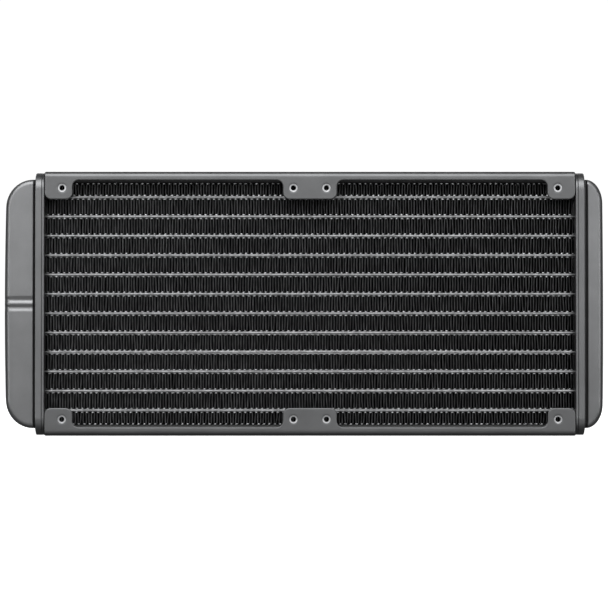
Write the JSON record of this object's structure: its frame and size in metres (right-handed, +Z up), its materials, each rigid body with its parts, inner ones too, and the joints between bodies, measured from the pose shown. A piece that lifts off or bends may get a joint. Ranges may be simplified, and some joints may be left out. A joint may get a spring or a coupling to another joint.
{
  "type": "liquid cooling radiator",
  "caption": "Slim aluminium radiator with folded fins between flat tubes, an end tank at each side, tapped fan tabs front and rear, and barbs for two hoses.",
  "frame": {"origin": "middle of the lower side channel's outer face, half way along and half way through the radiator", "axes": "+X along the tubes, with the inlet tank at -X; +Y from the front to the rear, where the hose barbs are; +Z up, from one side channel to the other"},
  "size_m": [0.2725, 0.0395, 0.12],
  "materials": {
    "frame_paint": "satin dark grey paint over pressed aluminium",
    "core_channel_paint": "thin satin grey paint over folded aluminium",
    "tube_paint": "thin grey paint, worn bright at the tubes' noses",
    "fin_paint": "matt black paint over thin aluminium strip",
    "barb_paint": "satin grey paint over turned aluminium",
    "bare_aluminium": "mill finish sheet"
  },
  "bodies": {
    "root": {"lower_side_channel": "frame_paint", "upper_side_channel": "frame_paint", "lower_core_channel": "core_channel_paint", "upper_core_channel": "core_channel_paint", "tube_01": "tube_paint", "tube_02": "tube_paint", "tube_03": "tube_paint", "tube_04": "tube_paint", "tube_05": "tube_paint", "tube_06": "tube_paint", "tube_07": "tube_paint", "tube_08": "tube_paint", "tube_09": "tube_paint", "tube_10": "tube_paint", "tube_11": "tube_paint", "tube_12": "tube_paint", "fin_strip_01": "fin_paint", "fin_strip_02": "fin_paint", "fin_strip_03": "fin_paint", "fin_strip_04": "fin_paint", "fin_strip_05": "fin_paint", "fin_strip_06": "fin_paint", "fin_strip_07": "fin_paint", "fin_strip_08": "fin_paint", "fin_strip_09": "fin_paint", "fin_strip_10": "fin_paint", "fin_strip_11": "fin_paint", "fin_strip_12": "fin_paint", "fin_strip_13": "fin_paint", "left_header_plate": "frame_paint", "right_header_plate": "frame_paint", "inlet_tank": "frame_paint", "return_tank": "frame_paint", "tank_partition": "bare_aluminium", "inlet_barb": "barb_paint", "outlet_barb": "barb_paint"}
  },
  "joints": []
}
